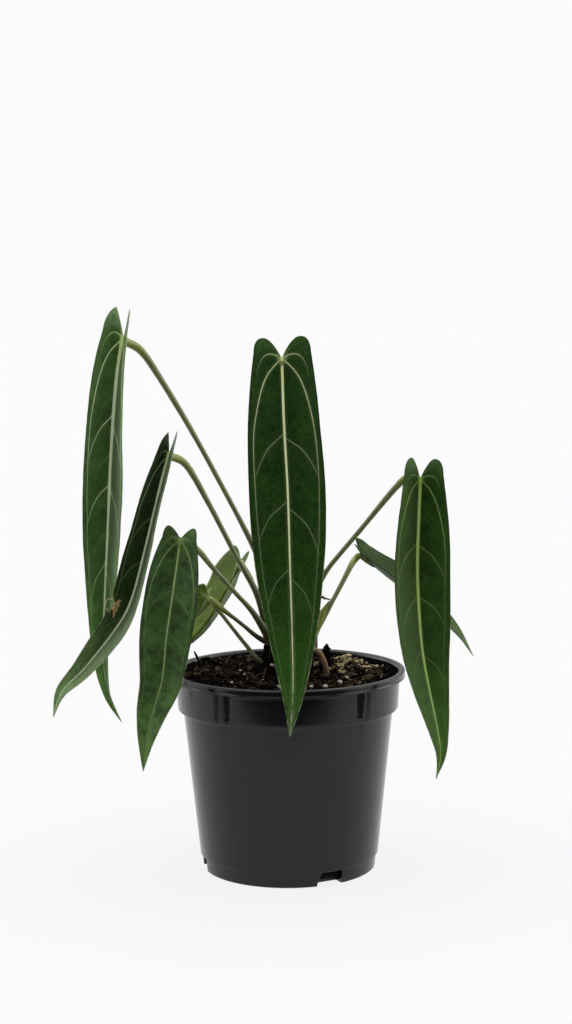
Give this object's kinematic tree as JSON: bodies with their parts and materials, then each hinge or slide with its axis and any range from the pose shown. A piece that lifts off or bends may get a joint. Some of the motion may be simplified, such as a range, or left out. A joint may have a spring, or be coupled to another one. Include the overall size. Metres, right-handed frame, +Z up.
{
  "type": "potted anthurium besseae",
  "caption": "Aroid house plant in a round black nursery pot: long dark green heart-based leaves with pale veins hang from slender arching stalks over the rim.",
  "frame": {"origin": "middle of the pot's flat underside, on the surface that the pot stands on", "axes": "+Z up along the pot's axis, -Y to the front of the plant, +X to the right as seen from the front"},
  "size_m": [0.2775, 0.1639, 0.3702],
  "materials": {
    "pot_plastic": "satin",
    "potting_mix": "matte",
    "crown_skin": "matte",
    "leaf_green": "satin",
    "leaf_lime": "satin",
    "stalk_olive": "satin",
    "sheath_fresh": "matte",
    "sheath_dry": "matte",
    "root_tan": "matte"
  },
  "bodies": {
    "root": {"pot": "pot_plastic", "soil": "potting_mix", "crown": "crown_skin", "blade_tall_left": "leaf_green", "stalk_tall_left": "stalk_olive", "blade_folded_left": "leaf_green", "stalk_folded_left": "stalk_olive", "blade_front_left": "leaf_green", "stalk_front_left": "stalk_olive", "blade_middle": "leaf_green", "stalk_middle": "stalk_olive", "blade_right": "leaf_green", "stalk_right": "stalk_olive", "blade_back_right": "leaf_green", "stalk_back_right": "stalk_olive", "blade_back_left": "leaf_lime", "stalk_back_left": "stalk_olive", "blade_small_left": "leaf_green", "stalk_small_left": "stalk_olive", "blade_hidden_left": "leaf_green", "stalk_hidden_left": "stalk_olive", "sheath_green": "sheath_fresh", "sheath_brown": "sheath_dry", "aerial_root": "root_tan"}
  },
  "joints": []
}
